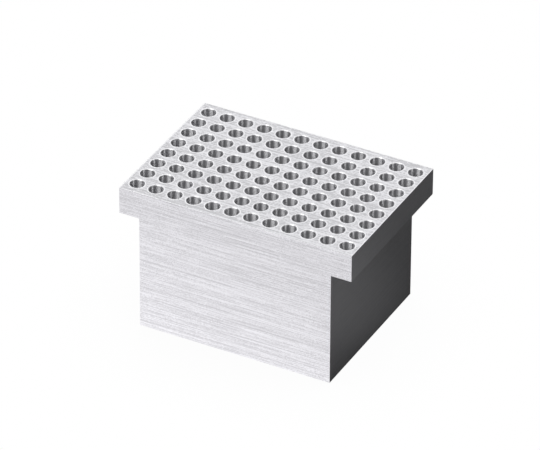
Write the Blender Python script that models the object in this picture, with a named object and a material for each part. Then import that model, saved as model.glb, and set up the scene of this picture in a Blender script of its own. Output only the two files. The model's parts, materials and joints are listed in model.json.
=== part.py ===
"""Well block of a dry block heater.

One solid aluminium block with a T-shaped section: a plain body that fills the heater's cavity,
and a wider top whose ears rest on the cavity's rim. The grid of tapered wells for tubes is
longer than the body, so its end columns lie wholly in the ears and set how deep a well may be.

Units are metres and +Z is up. The origin is on the underside, at the centre of the footprint.
X runs along the long side from ear to ear, and the front face looks towards -Y.
"""

import math

import bmesh
import bpy

# The block
LENGTH = 0.1096  # over both ears
WIDTH = 0.0753
HEIGHT = 0.0668
EAR_OVERHANG = 0.0095  # how far an ear stands out past the body
EAR_THICKNESS = 0.0127
EDGE_BREAK = 0.0002

# The wells, each turned about its own upright axis
COLUMNS = 12  # along X
ROWS = 8  # along Y
PITCH = 0.009
WELL_SIDES = 12
RIM_CHAMFER = 0.0002
MOUTH_RADIUS = 0.0031
MOUTH_DEPTH = 0.0048  # the straight part under the rim
TIP_RADIUS = 0.0022
FLOOR_THICKNESS = 0.0015  # left under a well that lies in an ear
WELL_DEPTH = EAR_THICKNESS - FLOOR_THICKNESS
CUTTER_OVERSHOOT = 0.0005  # how far the cutter stands out above the top face

SMOOTH_ANGLE = math.radians(40)


def clear_objects():
    """Empty the scene."""
    for item in list(bpy.data.objects):
        bpy.data.objects.remove(item, do_unlink=True)


def new_object(name, mesh_data):
    """Turn a bmesh into a named object in the scene."""
    mesh = bpy.data.meshes.new(name)
    mesh_data.to_mesh(mesh)
    mesh_data.free()
    item = bpy.data.objects.new(name, mesh)
    bpy.context.scene.collection.objects.link(item)
    return item


def section():
    """Corners of the T in the XZ plane, anticlockwise seen from the front."""
    half_length = LENGTH / 2
    half_body = half_length - EAR_OVERHANG
    ledge = HEIGHT - EAR_THICKNESS
    return [
        (-half_body, 0.0),
        (half_body, 0.0),
        (half_body, ledge),
        (half_length, ledge),
        (half_length, HEIGHT),
        (-half_length, HEIGHT),
        (-half_length, ledge),
        (-half_body, ledge),
    ]


def make_block():
    """The section extruded from front to back, with its outer edges broken."""
    shape = bmesh.new()
    corners = [shape.verts.new((x, -WIDTH / 2, z)) for x, z in section()]
    front = shape.faces.new(corners)
    grown = bmesh.ops.extrude_face_region(shape, geom=[front], use_keep_orig=True)
    back = [part for part in grown["geom"] if isinstance(part, bmesh.types.BMVert)]
    bmesh.ops.translate(shape, verts=back, vec=(0.0, WIDTH, 0.0))
    bmesh.ops.recalc_face_normals(shape, faces=shape.faces)
    outer_edges = [edge for edge in shape.edges if edge.is_convex]
    bmesh.ops.bevel(shape, geom=outer_edges, offset=EDGE_BREAK, segments=1, affect="EDGES")
    return new_object("well_block", shape)


def well_outline():
    """(radius, height) down the side of one well's cutter, from above the top face to the tip."""
    return [
        (MOUTH_RADIUS + RIM_CHAMFER + CUTTER_OVERSHOOT, HEIGHT + CUTTER_OVERSHOOT),
        (MOUTH_RADIUS, HEIGHT - RIM_CHAMFER),
        (MOUTH_RADIUS, HEIGHT - MOUTH_DEPTH),
        (TIP_RADIUS, HEIGHT - WELL_DEPTH),
    ]


def add_well(shape, x, y):
    """Add one well's closed cutter at x, y, with facets square to X and Y."""
    rings = []
    for radius, z in well_outline():
        ring = []
        for side in range(WELL_SIDES):
            turn = math.tau * (side + 0.5) / WELL_SIDES
            ring.append(shape.verts.new((x + radius * math.cos(turn), y + radius * math.sin(turn), z)))
        rings.append(ring)
    shape.faces.new(rings[0])
    for upper, lower in zip(rings, rings[1:]):
        for side in range(WELL_SIDES):
            after = (side + 1) % WELL_SIDES
            shape.faces.new((upper[side], lower[side], lower[after], upper[after]))
    shape.faces.new(reversed(rings[-1]))


def make_well_cutter():
    """All the wells' cutters as one object, centred on the block."""
    shape = bmesh.new()
    for column in range(COLUMNS):
        for row in range(ROWS):
            x = (column - (COLUMNS - 1) / 2) * PITCH
            y = (row - (ROWS - 1) / 2) * PITCH
            add_well(shape, x, y)
    cutter = new_object("well_cutter", shape)
    cutter.display_type = "WIRE"
    cutter.hide_render = True
    return cutter


def cut(block, cutter):
    """Take the cutter out of the block and keep the result as the block's own mesh."""
    boring = block.modifiers.new("wells", "BOOLEAN")
    boring.operation = "DIFFERENCE"
    boring.solver = "EXACT"
    boring.object = cutter
    depsgraph = bpy.context.evaluated_depsgraph_get()
    bored = bpy.data.meshes.new_from_object(block.evaluated_get(depsgraph))
    block.modifiers.clear()
    block.data = bored
    bpy.data.objects.remove(cutter, do_unlink=True)


def shade(block):
    """Smooth round the wells and sharp at every machined edge."""
    block.data.shade_smooth()
    block.data.set_sharp_from_angle(angle=SMOOTH_ANGLE)


def machined_aluminium():
    """Bare, brushed aluminium."""
    material = bpy.data.materials.new("machined_aluminium")
    material.use_nodes = True
    shader = material.node_tree.nodes["Principled BSDF"]
    shader.inputs["Base Color"].default_value = (0.80, 0.80, 0.82, 1.0)
    shader.inputs["Metallic"].default_value = 1.0
    shader.inputs["Roughness"].default_value = 0.36
    return material


clear_objects()
well_block = make_block()
cut(well_block, make_well_cutter())
shade(well_block)
well_block.data.materials.clear()
well_block.data.materials.append(machined_aluminium())
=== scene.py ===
"""Looks of the dry block heater's well block: fine mesh, bare brushed aluminium and a pale studio.

Units are metres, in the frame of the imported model: X runs from ear to ear, the front looks
towards -Y, +Z is up and the block stands on z = 0.
"""

import json
import math

import bmesh
import bpy
from mathutils import Matrix, Vector


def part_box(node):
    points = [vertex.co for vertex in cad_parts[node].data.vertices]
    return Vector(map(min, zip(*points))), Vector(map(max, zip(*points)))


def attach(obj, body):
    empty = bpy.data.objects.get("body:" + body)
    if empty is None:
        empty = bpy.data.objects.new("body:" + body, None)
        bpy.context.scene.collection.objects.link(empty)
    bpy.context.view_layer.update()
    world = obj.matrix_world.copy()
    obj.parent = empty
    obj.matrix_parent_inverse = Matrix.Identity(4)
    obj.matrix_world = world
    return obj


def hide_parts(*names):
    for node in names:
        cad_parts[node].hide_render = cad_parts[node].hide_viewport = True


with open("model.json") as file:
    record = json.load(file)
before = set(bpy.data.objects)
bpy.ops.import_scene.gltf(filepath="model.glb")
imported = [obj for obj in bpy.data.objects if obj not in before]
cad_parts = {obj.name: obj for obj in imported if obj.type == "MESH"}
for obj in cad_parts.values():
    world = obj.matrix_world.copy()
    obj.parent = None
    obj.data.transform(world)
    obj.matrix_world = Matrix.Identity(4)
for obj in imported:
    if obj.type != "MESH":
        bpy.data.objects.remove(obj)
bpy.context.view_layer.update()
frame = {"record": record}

# The block's sizes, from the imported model's box and mounts
HALF_LENGTH, HALF_WIDTH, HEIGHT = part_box("well_block")[1]
MOUNTS = {mount["name"]: mount["pos_m"] for mount in frame["record"]["mounts"]}
HALF_BODY = MOUNTS["body_right_side"][0]
LEDGE = MOUNTS["right_ledge"][2]

# The wells
COLUMNS = 12  # along X
ROWS = 8  # along Y
PITCH = 0.009
SIDES = 48  # a multiple of 8, so that a point falls on each corner of a well's square cell
BURNISH = 0.0005  # width of the bright line round each well and along the ends of the top
RIM_CHAMFER = 0.00018
MOUTH_RADIUS = 0.0031
MOUTH_DEPTH = 0.0048
TIP_RADIUS = 0.0022
FLOOR_THICKNESS = 0.0015  # left under a well that lies in an ear
WELL_DEPTH = HEIGHT - LEDGE - FLOOR_THICKNESS
TIP_CONE = 0.0007  # how far the drill's point leaves the floor's middle below its rim

# Fillets of a well's profile
RIM_FILLET = 0.00008
TAPER_FILLET = 0.0010  # where the straight mouth turns into the taper
FLOOR_FILLET = 0.0004
FILLET_STEPS = 3  # segments in each fillet
LAST_RIM_LEVEL = 2 * FILLET_STEPS + 2  # the rim's chamfer and its two fillets end at this ring

# Outer edges, broken with a fine file
EDGE_BREAK = 0.00010
EDGE_STEPS = 3
ROUND = 0.5  # the bevel's profile
ALONG_X = 0.9  # a face whose normal has more X than this looks to the left or right
FLAT_WEIGHT = 100  # how far large faces outweigh small ones in the normal at a point

# Tolerances
ON_TOP = 1e-7  # height within which a point lies on the top face
WELD = 1e-6  # distance within which two points are one

# Camera, with its bearing in degrees
AZIMUTH = 27.7
ELEVATION = 33.6
ROLL = 0.32
DISTANCE = 2.4
LENS = 380.9  # mm, on the 36 mm sensor
AIM = (-0.0028, -0.0197)  # right and up of the middle of the top face, in the view's plane
NEAREST, FURTHEST = 0.1, 20.0

# Softboxes: name, azimuth and elevation in degrees, (width, height), power in watts
LIGHT_DISTANCE = 1.2
SOFTBOXES = (
    ("key_front_left", -22, 47, (0.95, 0.75), 7.4),
    ("top_back_left", 207, 36, (0.8, 0.7), 1.62),
    ("right_strip", 86, 30, (0.25, 0.8), 1.8),
)

# The room's light: even, but dim round one bearing, which the right side mirrors
WHITE = (1.0, 1.0, 1.0, 1.0)
ROOM_TINT = (0.97, 0.965, 1.0, 1.0)
ROOM = 0.27
ROOM_DIM = 0.02
DIM_AZIMUTH = 110
DIM_ELEVATION = 8
DIM_EDGE = (0.65, 0.92)  # cosine of the angle from it, where the dimming starts and is full

# The floor and its contact shadow, as the camera sees them
FLOOR_REACH = 6.0
FLOOR_GAP = 0.0002  # below the block's underside
SHADOW_REACH = 0.05
SHADOW_OPENNESS = (0.3, 1.0)  # how open a place under the sky is, from closed in to clear
SHADOW_STRENGTH = (0.97, 1.0)  # the floor's brightness at those two

# The floor as the block mirrors it: brightness by place
CARD_TINT = (0.98, 0.975, 1.0, 1.0)
FRONT_CARD = (0.80, 1.08)  # far in front of the block, and close to it
FRONT_RAMP = (-0.13, -0.03)  # the Y of those two, at X = 0
FRONT_SLANT = 0.35  # how far that ramp moves back for each metre to the right
FRONT_EDGE = 0.001  # width of the step down to the darker floor behind the front face
FADED_SHARE = (0.6, 1.0)  # how much of the front card stays far to the left, and nearer
FADED_RAMP = (-0.35, -0.15)  # the X of those two
LEFT_SHARE = 0.5  # how much of the front card the floor to the left of the block has
LEFT_EDGE = 0.02  # width of the fade from there to the block's left side
SIDE_SPOT = (0.112, 0.014, 0.0)  # the middle of a faint patch to the right of the block
SIDE_CARD = (0.135, 0.027)  # in the patch, and round it
SIDE_RAMP = (0.02, 0.07)  # the distances from its middle of those two
REAR_CARD = (0.0, 0.38)  # near the patch and far from it, where it is brighter than SIDE_CARD
REAR_RAMP = (0.25, 0.46)

# Scratches: (length, width, share) of each layer
SCRATCHES = (
    (0.050, 0.0002, 0.28),
    (0.020, 0.0002, 0.27),
    (0.008, 0.0002, 0.20),
    (0.0005, 0.0003, 0.25),
)
TOP_SCRATCHES = (
    (0.040, 0.0007, 0.25),
    (0.015, 0.0005, 0.25),
    (0.005, 0.0004, 0.25),
    (0.0008, 0.0007, 0.25),
)
COLOUR_RANGE = (0.444, 0.556)  # the layers' sum from full dark to full light
GLOSS_RANGE = (0.35, 0.65)  # the layers' sum from dullest to glossiest
RELIEF_STRENGTH = 0.2
RELIEF_DEPTH = 0.00002

# Noise inside the wells and on the broken edges: (X, Y, Z) size of its grains
TURNED_RINGS = (0.02, 0.02, 0.00012)
WALL_PATCHES = (0.0022, 0.0022, 0.004)
EDGE_NICKS = (0.0012, 0.0012, 0.0012)
NOISE_RANGE = (0.3, 0.7)
NOISE_ROUGHNESS = 0.6

# Finer octaves of each noise
SCRATCH_DETAIL = 0.0
WALL_DETAIL = 2.0
NICK_DETAIL = 3.0

# The way each finish draws out what it mirrors, and by how much
ACROSS_X = (0.0, 0.6, 1.0)
ACROSS_TOP = (0.0, 1.0, 0.0)
UPRIGHT = (0.0, 0.0, 1.0)
UP_THE_WALL = (0.02, 0.013, 1.0)  # leans a little, so that it isn't square to a flat floor
BRUSHED_PULL = 0.7
BORED_PULL = 0.98

# Colours of each finish, (dark, light)
FRONT_COLOURS = ((0.70, 0.695, 0.71), (0.97, 0.965, 0.985))
TOP_COLOURS = ((0.72, 0.72, 0.735), (0.95, 0.95, 0.97))
END_COLOURS = ((0.84, 0.84, 0.85), (0.90, 0.90, 0.91))
BURNISHED_COLOURS = ((0.93, 0.93, 0.95), (0.98, 0.98, 0.99))
BORED_COLOURS = ((0.72, 0.72, 0.74), (0.88, 0.88, 0.89))
BROKEN_COLOURS = ((0.84, 0.84, 0.85), (0.95, 0.95, 0.96))

# Roughness of each finish, where its noise is low and where it is high
BRUSHED_ROUGHNESS = (0.44, 0.38)
BURNISHED_ROUGHNESS = (0.31, 0.27)
BORED_ROUGHNESS = (0.42, 0.48)
BROKEN_ROUGHNESS = (0.34, 0.44)

# Material slots of the mesh, in the order that the materials are added
BRUSHED, BRUSHED_TOP, BRUSHED_END, BURNISHED, BORED, BROKEN = range(6)


# ---------------------------------------------------------------- mesh


def rounded(corners):
    """A polyline's points, each (x, y, fillet radius) corner turned into a short arc."""
    points = []
    for index, (x, y, radius) in enumerate(corners):
        here = Vector((x, y))
        if radius == 0.0:
            points.append(here)
            continue
        before = (Vector(corners[index - 1][:2]) - here).normalized()
        after = (Vector(corners[index + 1][:2]) - here).normalized()
        half_angle = before.angle(after) / 2
        reach = radius / math.tan(half_angle)
        centre = here + (before + after).normalized() * radius / math.sin(half_angle)
        start = here + before * reach - centre
        turn = start.angle_signed(here + after * reach - centre)
        for step in range(FILLET_STEPS + 1):
            angle = -turn * step / FILLET_STEPS
            points.append(centre + Matrix.Rotation(angle, 2) @ start)
    return points


def well_profile():
    """(radius, height) from the land round a well's mouth down to the middle of its floor."""
    return rounded(
        [
            (MOUTH_RADIUS + RIM_CHAMFER + BURNISH, HEIGHT, 0.0),
            (MOUTH_RADIUS + RIM_CHAMFER, HEIGHT, RIM_FILLET),
            (MOUTH_RADIUS, HEIGHT - RIM_CHAMFER, RIM_FILLET),
            (MOUTH_RADIUS, HEIGHT - MOUTH_DEPTH, TAPER_FILLET),
            (TIP_RADIUS, HEIGHT - WELL_DEPTH + TIP_CONE, FLOOR_FILLET),
            (0.0, HEIGHT - WELL_DEPTH, 0.0),
        ]
    )


def well_slot(level):
    """The material of a well's faces, counted in rings from its square cell inwards."""
    if level == 0:
        return BRUSHED_TOP
    if level == 1:
        return BURNISHED
    return BROKEN if level <= LAST_RIM_LEVEL else BORED


def add_well(shape, x, y, profile):
    """One square cell of the top face with its well."""
    half = PITCH / 2
    square = []
    for side in range(SIDES):
        turn = math.tau * side / SIDES
        out = half / max(abs(math.cos(turn)), abs(math.sin(turn)))
        place = (x + out * math.cos(turn), y + out * math.sin(turn), HEIGHT)
        square.append(shape.verts.new(place))
    rings = [square]
    for radius, z in profile[:-1]:
        ring = []
        for side in range(SIDES):
            turn = math.tau * side / SIDES
            place = (x + radius * math.cos(turn), y + radius * math.sin(turn), z)
            ring.append(shape.verts.new(place))
        rings.append(ring)
    for level, (outer, inner) in enumerate(zip(rings, rings[1:])):
        for side in range(SIDES):
            after = (side + 1) % SIDES
            face = shape.faces.new((outer[side], outer[after], inner[after], inner[side]))
            face.material_index = well_slot(level)
    tip = shape.verts.new((x, y, profile[-1][1]))
    for side in range(SIDES):
        face = shape.faces.new((rings[-1][side], rings[-1][(side + 1) % SIDES], tip))
        face.material_index = BORED


def section():
    """Corners of the T in the XZ plane, anticlockwise seen from the front."""
    return [
        (-HALF_BODY, 0.0),
        (HALF_BODY, 0.0),
        (HALF_BODY, LEDGE),
        (HALF_LENGTH, LEDGE),
        (HALF_LENGTH, HEIGHT),
        (-HALF_LENGTH, HEIGHT),
        (-HALF_LENGTH, LEDGE),
        (-HALF_BODY, LEDGE),
    ]


def add_shell(shape):
    """Add the block's outside with its edges broken, and return the corners of its open top."""
    corners = [shape.verts.new((x, -HALF_WIDTH, z)) for x, z in section()]
    front = shape.faces.new(corners)
    grown = bmesh.ops.extrude_face_region(shape, geom=[front], use_keep_orig=True)
    back = [part for part in grown["geom"] if isinstance(part, bmesh.types.BMVert)]
    bmesh.ops.translate(shape, verts=back, vec=(0.0, 2 * HALF_WIDTH, 0.0))
    bmesh.ops.recalc_face_normals(shape, faces=shape.faces)
    outer_edges = [edge for edge in shape.edges if edge.is_convex]
    bevelled = bmesh.ops.bevel(
        shape, geom=outer_edges, offset=EDGE_BREAK, segments=EDGE_STEPS, profile=ROUND, affect="EDGES"
    )
    for face in shape.faces:
        face.material_index = BRUSHED_END if abs(face.normal.x) > ALONG_X else BRUSHED
    for face in bevelled["faces"]:
        face.material_index = BROKEN
    top = max(shape.faces, key=lambda face: face.calc_center_median().z)
    strip = bmesh.ops.inset_region(shape, faces=[top], thickness=BURNISH)
    for face in strip["faces"]:
        at_end = abs(face.calc_center_median().x) > HALF_LENGTH - BURNISH - EDGE_BREAK
        face.material_index = BURNISHED if at_end else BRUSHED_TOP
    rim = list(top.verts)
    shape.faces.remove(top)
    return rim


def close_margin(shape, rim):
    """Fill the flat margin between the wells' grid and the edges of the top."""
    half_grid = (COLUMNS * PITCH / 2, ROWS * PITCH / 2)
    corner = {(vert.co.x > 0, vert.co.y > 0): vert for vert in rim}
    on_top = [vert for vert in shape.verts if abs(vert.co.z - HEIGHT) < ON_TOP]
    walk = [(False, False), (True, False), (True, True), (False, True)]
    for index, start in enumerate(walk):
        end = walk[(index + 1) % len(walk)]
        across = 1 if start[1] == end[1] else 0
        edge_at = half_grid[across] if start[across] else -half_grid[across]
        inner = [vert for vert in on_top if abs(vert.co[across] - edge_at) < WELD]
        inner = [vert for vert in inner if abs(vert.co[1 - across]) < half_grid[1 - across] + WELD]
        backwards = end[1 - across]
        inner.sort(key=lambda vert: vert.co[1 - across], reverse=backwards)
        face = shape.faces.new([corner[start], corner[end]] + inner)
        face.material_index = BRUSHED_TOP


def make_block():
    """The whole block as one closed mesh."""
    shape = bmesh.new()
    profile = well_profile()
    for column in range(COLUMNS):
        for row in range(ROWS):
            x = (column - (COLUMNS - 1) / 2) * PITCH
            y = (row - (ROWS - 1) / 2) * PITCH
            add_well(shape, x, y, profile)
    bmesh.ops.remove_doubles(shape, verts=shape.verts, dist=WELD)
    cells = bpy.data.meshes.new("cells")
    shape.to_mesh(cells)
    shape.free()
    shape = bmesh.new()
    rim = [vert.co.copy() for vert in add_shell(shape)]
    shape.from_mesh(cells)
    bpy.data.meshes.remove(cells)
    rim = [min(shape.verts, key=lambda vert: (vert.co - place).length) for place in rim]
    close_margin(shape, rim)
    mesh = bpy.data.meshes.new("machined_block")
    shape.to_mesh(mesh)
    shape.free()
    mesh.shade_smooth()
    block = bpy.data.objects.new("machined_block", mesh)
    bpy.context.scene.collection.objects.link(block)
    weighted = block.modifiers.new("flat_faces_stay_flat", "WEIGHTED_NORMAL")
    weighted.mode = "FACE_AREA"
    weighted.weight = FLAT_WEIGHT
    return block


# ---------------------------------------------------------------- materials


def aluminium(name):
    """A new aluminium material: its node tree, its shader and the object coordinates."""
    material = bpy.data.materials.new(name)
    material.use_nodes = True
    tree = material.node_tree
    shader = tree.nodes["Principled BSDF"]
    shader.inputs["Metallic"].default_value = 1.0
    place = tree.nodes.new("ShaderNodeTexCoord").outputs["Object"]
    return material, tree, shader, place


def stretched_noise(tree, place, size, detail):
    """Noise whose grains measure size (x, y, z) in metres."""
    mapping = tree.nodes.new("ShaderNodeMapping")
    mapping.inputs["Scale"].default_value = [1.0 / length for length in size]
    tree.links.new(place, mapping.inputs["Vector"])
    noise = tree.nodes.new("ShaderNodeTexNoise")
    noise.inputs["Scale"].default_value = 1.0
    noise.inputs["Detail"].default_value = detail
    noise.inputs["Roughness"].default_value = NOISE_ROUGHNESS
    tree.links.new(mapping.outputs["Vector"], noise.inputs["Vector"])
    return noise.outputs["Fac"]


def combine(tree, operation, first, second):
    """A math node over two sockets or numbers."""
    node = tree.nodes.new("ShaderNodeMath")
    node.operation = operation
    for socket, value in zip(node.inputs, (first, second)):
        if isinstance(value, bpy.types.NodeSocket):
            tree.links.new(value, socket)
        else:
            socket.default_value = value
    return node.outputs["Value"]


def spread(tree, value, before, after):
    """A value's (low, high) range before mapped on to the one after, and held at its ends."""
    node = tree.nodes.new("ShaderNodeMapRange")
    tree.links.new(value, node.inputs["Value"])
    node.inputs["From Min"].default_value = before[0]
    node.inputs["From Max"].default_value = before[1]
    node.inputs["To Min"].default_value = after[0]
    node.inputs["To Max"].default_value = after[1]
    return node.outputs["Result"]


def tint(tree, fac, colours):
    """A colour between (dark, light)."""
    dark, light = colours
    node = tree.nodes.new("ShaderNodeMix")
    node.data_type = "RGBA"
    tree.links.new(fac, node.inputs["Factor"])
    node.inputs["A"].default_value = (*dark, 1.0)
    node.inputs["B"].default_value = (*light, 1.0)
    return node.outputs["Result"]


def direction(tree, vector):
    """A constant direction, for the shader's tangent."""
    node = tree.nodes.new("ShaderNodeCombineXYZ")
    for socket, value in zip(node.inputs, vector):
        socket.default_value = value
    return node.outputs["Vector"]


def brushed(name, along, across, colours, roughness=BRUSHED_ROUGHNESS, layers=SCRATCHES):
    """Aluminium brushed along one axis: long straight scratches in colour, gloss and relief."""
    material, tree, shader, place = aluminium(name)
    scratches = None
    for length, width, share in layers:
        size = [length if axis == along else width for axis in "xyz"]
        noise = stretched_noise(tree, place, size, SCRATCH_DETAIL)
        layer = combine(tree, "MULTIPLY", noise, share)
        scratches = layer if scratches is None else combine(tree, "ADD", scratches, layer)
    fac = spread(tree, scratches, COLOUR_RANGE, (0.0, 1.0))
    tree.links.new(tint(tree, fac, colours), shader.inputs["Base Color"])
    tree.links.new(spread(tree, scratches, GLOSS_RANGE, roughness), shader.inputs["Roughness"])
    shader.inputs["Anisotropic"].default_value = BRUSHED_PULL
    tree.links.new(direction(tree, across), shader.inputs["Tangent"])
    bump = tree.nodes.new("ShaderNodeBump")
    bump.inputs["Strength"].default_value = RELIEF_STRENGTH
    bump.inputs["Distance"].default_value = RELIEF_DEPTH
    tree.links.new(scratches, bump.inputs["Height"])
    tree.links.new(bump.outputs["Normal"], shader.inputs["Normal"])
    return material


def bored():
    """The wells' walls: fine turned rings, which spread light up and down the wall."""
    material, tree, shader, place = aluminium("bored_aluminium")
    rings = stretched_noise(tree, place, TURNED_RINGS, WALL_DETAIL)
    patches = stretched_noise(tree, place, WALL_PATCHES, WALL_DETAIL)
    tree.links.new(tint(tree, rings, BORED_COLOURS), shader.inputs["Base Color"])
    rough = spread(tree, patches, NOISE_RANGE, BORED_ROUGHNESS)
    tree.links.new(rough, shader.inputs["Roughness"])
    shader.inputs["Anisotropic"].default_value = BORED_PULL
    tree.links.new(direction(tree, UP_THE_WALL), shader.inputs["Tangent"])
    return material


def broken_edge():
    """Filed edges and chamfers: bare, bright and a little uneven."""
    material, tree, shader, place = aluminium("broken_edge_aluminium")
    nicks = stretched_noise(tree, place, EDGE_NICKS, NICK_DETAIL)
    tree.links.new(tint(tree, nicks, BROKEN_COLOURS), shader.inputs["Base Color"])
    rough = spread(tree, nicks, NOISE_RANGE, BROKEN_ROUGHNESS)
    tree.links.new(rough, shader.inputs["Roughness"])
    return material


# ---------------------------------------------------------------- studio


def bearing(azimuth, elevation):
    """The direction to a bearing in degrees: azimuth 0 is in front of the block, 90 to its right."""
    turn = math.radians(azimuth)
    rise = math.radians(elevation)
    level = math.cos(rise)
    return Vector((math.sin(turn) * level, -math.cos(turn) * level, math.sin(rise)))


def mix_by_camera(tree, others, camera, output):
    """Show one shader to the camera and another to every other ray."""
    path = tree.nodes.new("ShaderNodeLightPath")
    mix = tree.nodes.new("ShaderNodeMixShader")
    tree.links.new(path.outputs["Is Camera Ray"], mix.inputs["Fac"])
    tree.links.new(others, mix.inputs[1])
    tree.links.new(camera, mix.inputs[2])
    end = tree.nodes.new(output)
    tree.links.new(mix.outputs["Shader"], end.inputs["Surface"])


def floor_brightness(tree):
    """How bright the block's mirror image of the floor is, by place on the floor."""
    place = tree.nodes.new("ShaderNodeTexCoord").outputs["Object"]
    split = tree.nodes.new("ShaderNodeSeparateXYZ")
    tree.links.new(place, split.inputs["Vector"])
    x, y = split.outputs["X"], split.outputs["Y"]
    spot = tree.nodes.new("ShaderNodeVectorMath")
    spot.operation = "DISTANCE"
    tree.links.new(place, spot.inputs[0])
    spot.inputs[1].default_value = SIDE_SPOT
    beside = spread(tree, spot.outputs["Value"], SIDE_RAMP, SIDE_CARD)
    distant = spread(tree, spot.outputs["Value"], REAR_RAMP, REAR_CARD)
    slanted = combine(tree, "SUBTRACT", y, combine(tree, "MULTIPLY", x, FRONT_SLANT))
    card = spread(tree, slanted, FRONT_RAMP, FRONT_CARD)
    in_front = spread(tree, y, (-HALF_WIDTH, -HALF_WIDTH + FRONT_EDGE), (1.0, 0.0))
    in_front = combine(tree, "MULTIPLY", in_front, spread(tree, x, FADED_RAMP, FADED_SHARE))
    on_left = spread(tree, x, (-HALF_BODY - LEFT_EDGE, -HALF_BODY), (LEFT_SHARE, 0.0))
    ahead = combine(tree, "MULTIPLY", card, combine(tree, "MAXIMUM", in_front, on_left))
    away = combine(tree, "MAXIMUM", beside, distant)
    return combine(tree, "MAXIMUM", away, ahead)


def make_floor():
    """A pale floor with a faint contact shadow, lit by place where the block mirrors it."""
    mesh = bpy.data.meshes.new("floor")
    corners = [
        (-FLOOR_REACH, -FLOOR_REACH, 0),
        (FLOOR_REACH, -FLOOR_REACH, 0),
        (FLOOR_REACH, FLOOR_REACH, 0),
        (-FLOOR_REACH, FLOOR_REACH, 0),
    ]
    mesh.from_pydata(corners, [], [(0, 1, 2, 3)])
    floor = bpy.data.objects.new("floor", mesh)
    floor.location.z = -FLOOR_GAP
    bpy.context.scene.collection.objects.link(floor)
    material = bpy.data.materials.new("pale_floor")
    material.use_nodes = True
    tree = material.node_tree
    tree.nodes.clear()
    shade = tree.nodes.new("ShaderNodeAmbientOcclusion")
    shade.inputs["Distance"].default_value = SHADOW_REACH
    seen = tree.nodes.new("ShaderNodeEmission")
    shadow = spread(tree, shade.outputs["AO"], SHADOW_OPENNESS, SHADOW_STRENGTH)
    tree.links.new(shadow, seen.inputs["Strength"])
    mirrored = tree.nodes.new("ShaderNodeEmission")
    mirrored.inputs["Color"].default_value = CARD_TINT
    tree.links.new(floor_brightness(tree), mirrored.inputs["Strength"])
    output = "ShaderNodeOutputMaterial"
    mix_by_camera(tree, mirrored.outputs["Emission"], seen.outputs["Emission"], output)
    mesh.materials.append(material)


def make_world():
    """White behind the block, and to everything else a room that is dim round one bearing."""
    world = bpy.data.worlds.new("studio")
    bpy.context.scene.world = world
    world.use_nodes = True
    tree = world.node_tree
    tree.nodes.clear()
    white = tree.nodes.new("ShaderNodeBackground")
    white.inputs["Color"].default_value = WHITE
    room = tree.nodes.new("ShaderNodeBackground")
    room.inputs["Color"].default_value = ROOM_TINT
    facing = tree.nodes.new("ShaderNodeVectorMath")
    facing.operation = "DOT_PRODUCT"
    place = tree.nodes.new("ShaderNodeTexCoord").outputs["Generated"]
    tree.links.new(place, facing.inputs[0])
    facing.inputs[1].default_value = bearing(DIM_AZIMUTH, DIM_ELEVATION)
    strength = spread(tree, facing.outputs["Value"], DIM_EDGE, (ROOM, ROOM_DIM))
    tree.links.new(strength, room.inputs["Strength"])
    output = "ShaderNodeOutputWorld"
    mix_by_camera(tree, room.outputs["Background"], white.outputs["Background"], output)


def make_softbox(name, azimuth, elevation, size, power):
    """An area light at a bearing from the block's middle, facing it."""
    lamp = bpy.data.lights.new(name, "AREA")
    lamp.shape = "RECTANGLE"
    lamp.size, lamp.size_y = size
    lamp.energy = power
    box = bpy.data.objects.new(name, lamp)
    back = bearing(azimuth, elevation)
    box.location = Vector((0.0, 0.0, HEIGHT / 2)) + back * LIGHT_DISTANCE
    box.rotation_euler = back.to_track_quat("Z", "Y").to_euler()
    box.visible_camera = False
    bpy.context.scene.collection.objects.link(box)


def make_camera():
    """The camera at the object's three-quarter view, above and to the right of its front."""
    back = bearing(AZIMUTH, ELEVATION)
    turn = math.radians(AZIMUTH)
    roll = math.radians(ROLL)
    level = Vector((math.cos(turn), math.sin(turn), 0.0))
    upright = back.cross(level)
    right = level * math.cos(roll) + upright * math.sin(roll)
    up = back.cross(right)
    data = bpy.data.cameras.new("camera")
    data.lens = LENS
    data.clip_start, data.clip_end = NEAREST, FURTHEST
    camera = bpy.data.objects.new("camera", data)
    place = Vector((0.0, 0.0, HEIGHT)) + right * AIM[0] + up * AIM[1] + back * DISTANCE
    axes = Matrix((right, up, back)).transposed().to_4x4()
    camera.matrix_world = Matrix.Translation(place) @ axes
    bpy.context.scene.collection.objects.link(camera)
    bpy.context.scene.camera = camera


# ---------------------------------------------------------------- build

make_camera()
make_world()
make_floor()
for softbox in SOFTBOXES:
    make_softbox(*softbox)
bpy.context.scene.view_settings.view_transform = "Standard"

block = make_block()
finishes = (
    brushed("brushed_aluminium", "x", ACROSS_X, FRONT_COLOURS),
    brushed("brushed_top_aluminium", "x", ACROSS_TOP, TOP_COLOURS, layers=TOP_SCRATCHES),
    brushed("brushed_end_aluminium", "y", UPRIGHT, END_COLOURS),
    brushed("burnished_aluminium", "x", ACROSS_X, BURNISHED_COLOURS, BURNISHED_ROUGHNESS),
    bored(),
    broken_edge(),
)
for finish in finishes:
    block.data.materials.append(finish)
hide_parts("well_block")
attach(block, "root")
